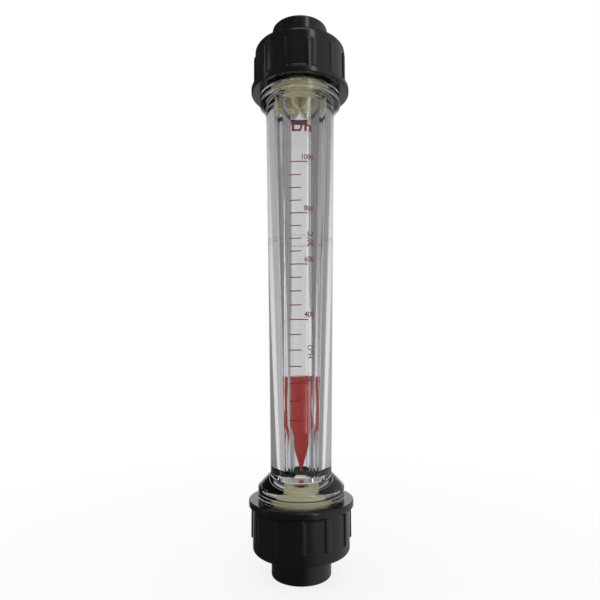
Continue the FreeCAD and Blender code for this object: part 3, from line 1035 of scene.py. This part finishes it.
# ------------------------------------------------------------------ stage
SOFT_LEVEL = 1.4        # room light on matt surfaces, which are mostly seen through smoky plastic
FLOOR_R = 0.42
FLOOR_GREY = 0.55
# each ramp: from and to, in metres or as a part of a direction, then the two values it joins
FLOOR_WHITE = (0.05, FLOOR_R - 0.02, 0.82, 1.0)
ROOM_FRONT = (0.0, 0.9, 0.05, 0.48)
ROOM_BACK = (-0.6, 0.6, 0.52, 0.30)
BACKDROP = (0.80, 0.97, 0.0, 1.0)
CAMERA_PLACE = (-0.37 * MM, -314.8 * MM, MIDDLE - 35.9 * MM)
CAMERA_LENS = 30.87
CAMERA_TILT = math.pi / 2.0 + 0.093
CAMERA_ROLL = -0.003
# name, place, width, height and brightness (1 is white) of each soft lamp
LAMPS = (
    ("right_window", (0.62, -1.05, 0.45), 0.22, 1.5, 2.6),
    ("ceiling_panel", (0.10, -0.75, 1.35), 0.9, 0.5, 1.6),
    ("left_strip", (-1.25, -0.15, 0.35), 0.16, 1.3, 0.8),
)


def ramp_value(tree, source, low, high, first, last):
    """Smooth ramp from first to last while a value goes from low to high."""
    ramp = tree.nodes.new("ShaderNodeMapRange")
    ramp.interpolation_type = "SMOOTHSTEP"
    ramp.inputs["From Min"].default_value = low
    ramp.inputs["From Max"].default_value = high
    ramp.inputs["To Min"].default_value = first
    ramp.inputs["To Max"].default_value = last
    tree.links.new(source, ramp.inputs["Value"])
    return ramp.outputs["Result"]


def seen_share(tree, behind):
    """1 where the camera looks, and where gloss and glass show what is behind the object."""
    path = tree.nodes.new("ShaderNodeLightPath")
    back = combined(tree, "MULTIPLY", gloss_or_glass(tree), behind)
    return combined(tree, "ADD", path.outputs["Is Camera Ray"], back)


def gloss_or_glass(tree):
    """1 for what gloss reflects and what glass lets through."""
    path = tree.nodes.new("ShaderNodeLightPath")
    return combined(tree, "ADD", path.outputs["Is Glossy Ray"],
                    path.outputs["Is Transmission Ray"])


def studio_floor():
    """White floor that keeps the meter's shadow and is open to gloss and glass."""
    bm = bmesh.new()
    bmesh.ops.create_circle(bm, cap_ends=True, segments=96, radius=FLOOR_R)
    mesh = bpy.data.meshes.new("floor")
    bm.to_mesh(mesh)
    bm.free()
    floor = bpy.data.objects.new("floor", mesh)
    bpy.context.scene.collection.objects.link(floor)
    material, tree, shader = new_material("floor_white")
    nodes, links = tree.nodes, tree.links
    shader.inputs["Base Color"].default_value = (FLOOR_GREY, FLOOR_GREY, FLOOR_GREY, 1.0)
    shader.inputs["Roughness"].default_value = 0.9
    glow = nodes.new("ShaderNodeEmission")
    glow.inputs["Color"].default_value = (1.0, 1.0, 1.0, 1.0)
    where = nodes.new("ShaderNodeTexCoord")
    spread = nodes.new("ShaderNodeVectorMath")
    spread.operation = "LENGTH"
    links.new(where.outputs["Object"], spread.inputs[0])
    path = nodes.new("ShaderNodeLightPath")
    level = combined(tree, "MULTIPLY", ramp_value(tree, spread.outputs["Value"], *FLOOR_WHITE),
                     path.outputs["Is Camera Ray"])
    white = nodes.new("ShaderNodeMixShader")
    links.new(level, white.inputs["Fac"])
    links.new(shader.outputs["BSDF"], white.inputs[1])
    links.new(glow.outputs["Emission"], white.inputs[2])
    open_floor = nodes.new("ShaderNodeBsdfTransparent")
    mix = nodes.new("ShaderNodeMixShader")
    links.new(gloss_or_glass(tree), mix.inputs["Fac"])
    links.new(white.outputs["Shader"], mix.inputs[1])
    links.new(open_floor.outputs["BSDF"], mix.inputs[2])
    links.new(mix.outputs["Shader"], nodes["Material Output"].inputs["Surface"])
    mesh.materials.append(material)


def studio_light(scene):
    """Room that gloss, glass, matt surfaces and the camera each see at their own level."""
    world = bpy.data.worlds.new("studio")
    world.use_nodes = True
    scene.world = world
    nodes, links = world.node_tree.nodes, world.node_tree.links
    back = nodes["Background"]
    tree = world.node_tree
    where = nodes.new("ShaderNodeTexCoord")
    axes = nodes.new("ShaderNodeSeparateXYZ")
    links.new(where.outputs["Generated"], axes.inputs["Vector"])
    room_front = ramp_value(tree, axes.outputs["X"], *ROOM_FRONT)
    room_back = ramp_value(tree, axes.outputs["X"], *ROOM_BACK)
    path = nodes.new("ShaderNodeLightPath")
    room = nodes.new("ShaderNodeMix")
    room.data_type = "FLOAT"
    links.new(path.outputs["Is Transmission Ray"], room.inputs["Factor"])
    links.new(room_front, room.inputs["A"])
    links.new(room_back, room.inputs["B"])
    behind = ramp_value(tree, axes.outputs["Y"], *BACKDROP)
    share = seen_share(tree, behind)
    seen = nodes.new("ShaderNodeMix")
    seen.data_type = "FLOAT"
    links.new(share, seen.inputs["Factor"])
    links.new(room.outputs["Result"], seen.inputs["A"])
    seen.inputs["B"].default_value = 1.0
    soft = nodes.new("ShaderNodeMix")
    soft.data_type = "FLOAT"
    links.new(path.outputs["Diffuse Depth"], soft.inputs["Factor"])
    links.new(seen.outputs["Result"], soft.inputs["A"])
    soft.inputs["B"].default_value = SOFT_LEVEL
    links.new(soft.outputs["Result"], back.inputs["Color"])
    for name, place, width, height, level in LAMPS:
        lamp = bpy.data.lights.new(name, "AREA")
        lamp.shape = "RECTANGLE"
        lamp.size = width
        lamp.size_y = height
        lamp.energy = level * math.pi * width * height
        obj = bpy.data.objects.new(name, lamp)
        obj.location = place
        aim = Vector((0.0, 0.0, MIDDLE)) - Vector(place)
        obj.rotation_euler = aim.to_track_quat("-Z", "Y").to_euler()
        scene.collection.objects.link(obj)


def studio_camera(scene):
    data = bpy.data.cameras.new("camera")
    data.sensor_width = 36.0
    data.lens = CAMERA_LENS
    obj = bpy.data.objects.new("camera", data)
    obj.location = CAMERA_PLACE
    tilt = Matrix.Rotation(CAMERA_TILT, 3, "X")
    roll = Matrix.Rotation(CAMERA_ROLL, 3, "Z")
    obj.rotation_euler = (tilt @ roll).to_euler()
    scene.collection.objects.link(obj)
    scene.camera = obj


class RotameterPanel(bpy.types.Panel):
    """Steps of the rotameter, in order"""

    bl_idname = "VIEW3D_PT_rotameter"
    bl_label = "Rotameter"
    bl_space_type = "VIEW_3D"
    bl_region_type = "UI"
    bl_category = "Rotameter"

    def draw(self, context):
        for step in STEPS:
            self.layout.operator(step.bl_idname)
        for name in GROUPS:
            box = self.layout.box()
            sizes = getattr(context.scene, name)
            box.label(text=GROUPS[name].__doc__)
            for key in GROUPS[name].__annotations__:
                box.prop(sizes, key)


GROUPS = {
    "meter_tube": TubeSizes,
    "meter_thread": ThreadSizes,
    "meter_float": FloatSizes,
    "meter_nut": NutSizes,
    "meter_scale": ScaleSizes,
    "meter_colours": FinishColours,
}
STEPS = (BuildMaterials, BuildTube, BuildFloat, BuildNuts, BuildScale, BuildStage)


def register():
    for name, group in GROUPS.items():
        bpy.utils.register_class(group)
        setattr(bpy.types.Scene, name, bpy.props.PointerProperty(type=group))
    for step in STEPS:
        bpy.utils.register_class(step)
    bpy.utils.register_class(RotameterPanel)


def unregister():
    bpy.utils.unregister_class(RotameterPanel)
    for step in reversed(STEPS):
        bpy.utils.unregister_class(step)
    for name, group in GROUPS.items():
        delattr(bpy.types.Scene, name)
        bpy.utils.unregister_class(group)


def main():
    register()
    bpy.ops.meter.materials()
    bpy.ops.meter.tube()
    bpy.ops.meter.float()
    bpy.ops.meter.nuts()
    bpy.ops.meter.scale()
    bpy.ops.meter.stage()


if __name__ == "__main__":
    main()
